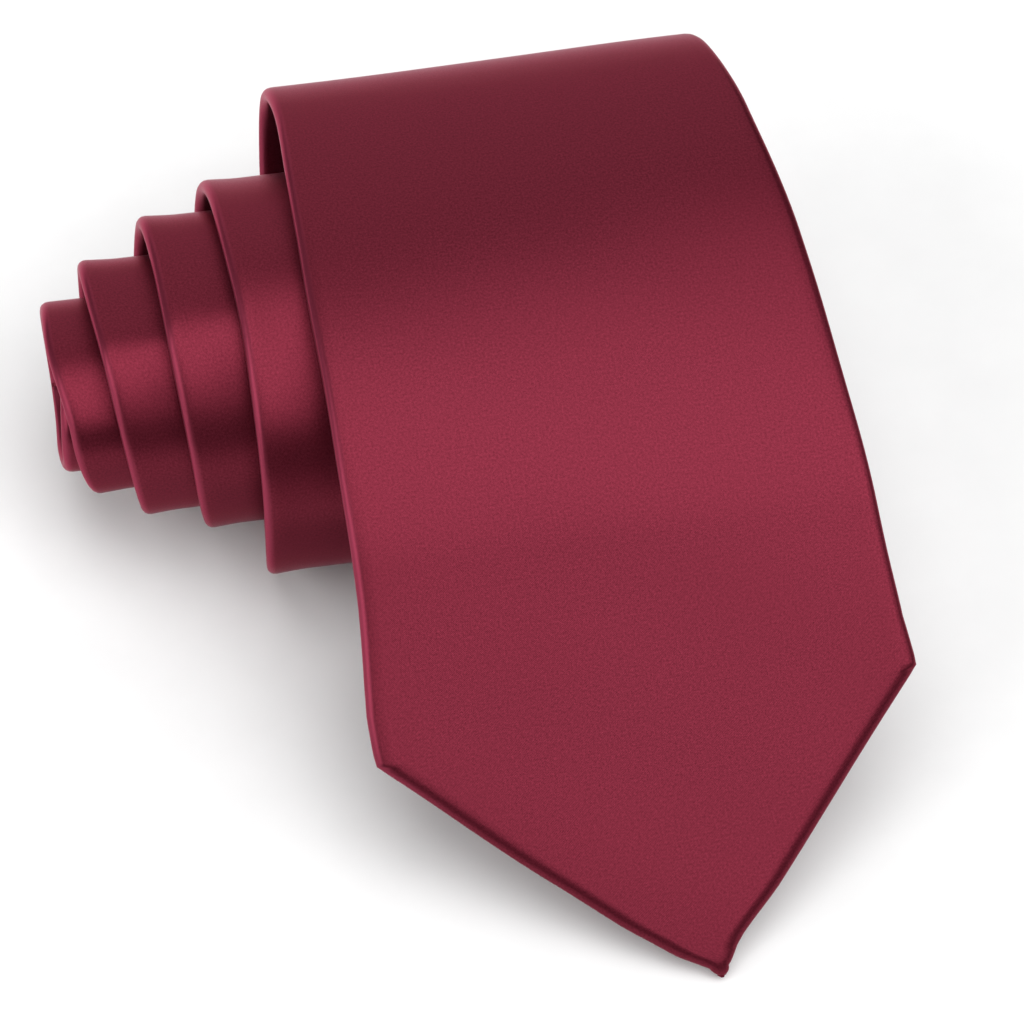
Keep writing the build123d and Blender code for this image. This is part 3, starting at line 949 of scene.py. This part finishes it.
def build_hem_stitches():
    lines = []
    for side in (-1, 1):
        lines.append(((HEM_TIP_AT + 2, side * 1.8), (HEM_CORNER_AT - 1, side * (HEM_CORNER_SIDE - 0.9))))
    hem_stitches("blade_hem_stitches", "blade_tipping_seam", lines, BLADE_HEM_PITCH)
    lines = []
    for side in (-1, 1):
        near = slit_half(TAIL_HEM_CORNER_AT + 1)
        far = slit_half(TAIL_HEM_TIP_AT - 1)
        lines.append(((TAIL_HEM_CORNER_AT + 1, side * near), (TAIL_HEM_TIP_AT - 1, side * far)))
    hem_stitches("tail_hem_stitches", "tail_tipping_seam", lines, TAIL_HEM_PITCH)


def build_slip_stitch():
    """Long loose stitches that zigzag across the slit down the back."""
    strands = []
    along, side = FLAPS_MEET_AT + TACK_GAP, 1
    while along + SLIP_PITCH < TAIL_FLAPS_MEET_AT - TACK_GAP:
        begin = (along, side * SLIP_REACH, BOTTOM + SLIP_LIFT)
        end = (along + SLIP_PITCH, -side * SLIP_REACH, BOTTOM + SLIP_LIFT)
        strands.append(arched(begin, end, SLIP_RISE, 14))
        along += SLIP_PITCH
        side = -side
    obj = thread_piece("slip_thread", strands, THREAD / 2 * 0.7)
    finish_piece(obj, SEWING, "sewing_thread", "slip_stitch")


def build_bar_tack(name, node_name, start):
    """Dense bars of thread side by side across the slit, over two long ones."""
    strands = []
    for i in range(TACK_BARS):
        along = start + TACK_LENGTH * (i + 0.5) / TACK_BARS
        half = TACK_SPAN / 2 * (1 - 0.06 * (i % 2))
        strands.append(arched((along, -half, BOTTOM + 0.02), (along, half, BOTTOM + 0.02), 0.2, 11))
    for along in (start + TACK_LENGTH * 0.3, start + TACK_LENGTH * 0.7):
        half = TACK_SPAN / 2 + 0.3
        strands.append(arched((along, -half, BOTTOM), (along, half, BOTTOM), 0.08, 9))
    obj = thread_piece(name, strands, TACK_RADIUS)
    finish_piece(obj, SEWING, "sewing_thread", node_name)


def build_keeper():
    """Strap of self fabric across the back, its ends turned under and sewn down."""
    half = KEEPER_SPAN / 2

    def section(along):
        belly = math.sin(math.pi * (along - KEEPER_AT) / KEEPER_WIDTH)
        ring = []
        for across, lift in rounded_ring(-half, half, -CLOTH, 0.0, 44):
            clear = smooth(half - abs(across), KEEPER_FOOT * 0.6, KEEPER_FOOT * 2.4)
            ripple = 0.05 * math.sin(across / 2.3) * belly
            ring.append((across, ON_BACK + 0.02 + lift - KEEPER_RISE * clear - ripple))
        return ring

    obj = slab("keeper_strap", spaced(KEEPER_AT, KEEPER_AT + KEEPER_WIDTH, PIECE_STEP), section, 0.4)
    finish_piece(obj, SATIN, "self_fabric", "keeper_loop")


def end_stitches(name, node_name, start, end, reach, surface, pitch):
    """Short stitches in a row at both sides of a strap or label."""
    strands = []
    for side in (-1, 1):
        count = int((end - start - 2 * STITCH_MARGIN) / pitch)
        for i in range(count):
            along = start + STITCH_MARGIN + (i + 0.1) * pitch
            begin = (along, side * reach, surface + 0.05)
            finish = (along + 0.8 * pitch, side * (reach + 0.12), surface + 0.05)
            strands.append(arched(begin, finish, STITCH_RISE, 5))
    obj = thread_piece(name, strands, STITCH_RADIUS)
    finish_piece(obj, SEWING, "sewing_thread", node_name)


def build_label():
    half = LABEL_SPAN / 2

    def section(along):
        low, high = ON_BACK - LABEL_THICKNESS, ON_BACK
        ring = rounded_ring(-half, half, low, high, 40)
        return [(a, lift - 0.03 * math.sin(a / 4.1) * math.sin(along / 3.7)) for a, lift in ring]

    obj = slab("woven_label", spaced(LABEL_AT, LABEL_AT + LABEL_LENGTH, PIECE_STEP), section, 0.3)
    finish_piece(obj, LABEL, "label_weave", "label")


def build_all():
    build_shells()
    build_piecing_seam("blade_piecing", "blade_piecing_seam", BLADE_SEAM_AT)
    build_piecing_seam("tail_piecing", "tail_piecing_seam", TAIL_SEAM_AT)
    build_interlining()
    build_tipping("blade_lining", "blade_tipping", TIPPING_START, FLAPS_MEET_AT + PAST_FLAPS)
    build_tipping("tail_lining", "tail_tipping", TAIL_FLAPS_MEET_AT - PAST_FLAPS,
                  TOTAL_LENGTH - TIPPING_END)
    build_hem_stitches()
    build_slip_stitch()
    build_bar_tack("blade_tack", "blade_bar_tack", FLAPS_MEET_AT + TACK_GAP)
    build_bar_tack("tail_tack", "tail_bar_tack", TAIL_FLAPS_MEET_AT - TACK_GAP - TACK_LENGTH)
    build_keeper()
    end_stitches("keeper_thread", "keeper_stitches", KEEPER_AT, KEEPER_AT + KEEPER_WIDTH,
                 (KEEPER_SPAN - KEEPER_FOOT) / 2, ON_BACK - CLOTH, KEEPER_PITCH)
    build_label()
    end_stitches("label_thread", "label_stitches", LABEL_AT, LABEL_AT + LABEL_LENGTH,
                 LABEL_SPAN / 2 - LABEL_STITCH_IN, ON_BACK - LABEL_THICKNESS, LABEL_PITCH)


build_all()


# ---- Floor, light and camera; metres, degrees and watts ----
FLOOR_HALF = 3.0
FLOOR_LEVEL = -0.0002
WORLD_STRENGTH = 0.10
LIGHT_TARGET = (0.0, 0.02, 0.02)
# Name, azimuth, elevation, distance, size and power.
LIGHTS = (
    ("key", 27, 73, 3.0, (2.5, 4.0), 90.0),
    ("back", 180, 32, 1.8, (1.4, 2.0), 8.0),
    ("side", -68, 32, 1.2, (1.1, 0.9), 7.0),
    ("right", 75, 38, 1.5, (1.2, 1.0), 5.0),
)
CAMERA_AZIMUTH = -8.57
CAMERA_ELEVATION = 53.04
CAMERA_DISTANCE = 0.7504
CAMERA_TARGET = (0.00859, 0.00241, 0.01717)
CAMERA_LENS = 172.2


def floor():
    material, tree, shader, _, space = start_material("pale_floor")
    grain = noise(tree, space, 90.0)
    colour = ramp(tree, grain, ((0.3, FLOOR_DARK), (0.7, FLOOR_LIGHT)))
    tree.links.new(colour, shader.inputs["Base Color"])
    shader.inputs["Roughness"].default_value = 0.8
    shader.inputs["Specular IOR Level"].default_value = 0.1
    signs = ((-1, -1), (1, -1), (1, 1), (-1, 1))
    corners = [(x * FLOOR_HALF, y * FLOOR_HALF, FLOOR_LEVEL) for x, y in signs]
    obj = make_object("floor", corners, [(0, 1, 2, 3)])
    obj.data.materials.append(material)


def aim(obj, target, azimuth, elevation, distance):
    """Put obj out from the target at these angles, facing it, and link it to the scene."""
    a, e = math.radians(azimuth), math.radians(elevation)
    back = Vector((math.sin(a) * math.cos(e), -math.cos(a) * math.cos(e), math.sin(e)))
    obj.location = Vector(target) + back * distance
    obj.rotation_mode = "QUATERNION"
    obj.rotation_quaternion = (-back).to_track_quat("-Z", "Y")
    bpy.context.scene.collection.objects.link(obj)


def soft_light(name, azimuth, elevation, distance, size, power):
    data = bpy.data.lights.new(name, "AREA")
    data.shape = "RECTANGLE"
    data.size, data.size_y = size
    data.energy = power
    aim(bpy.data.objects.new(name, data), LIGHT_TARGET, azimuth, elevation, distance)


def world_light(strength):
    world = bpy.data.worlds.new("studio")
    world.use_nodes = True
    shade = world.node_tree.nodes["Background"]
    shade.inputs["Color"].default_value = (1.0, 1.0, 1.0, 1.0)
    shade.inputs["Strength"].default_value = strength
    bpy.context.scene.world = world


def camera():
    data = bpy.data.cameras.new("camera")
    data.sensor_width = 36.0
    data.lens = CAMERA_LENS
    data.clip_start = 0.01
    obj = bpy.data.objects.new("camera", data)
    aim(obj, CAMERA_TARGET, CAMERA_AZIMUTH, CAMERA_ELEVATION, CAMERA_DISTANCE)
    bpy.context.scene.camera = obj


floor()
world_light(WORLD_STRENGTH)
for light in LIGHTS:
    soft_light(*light)
camera()
bpy.context.scene.view_settings.view_transform = "Standard"
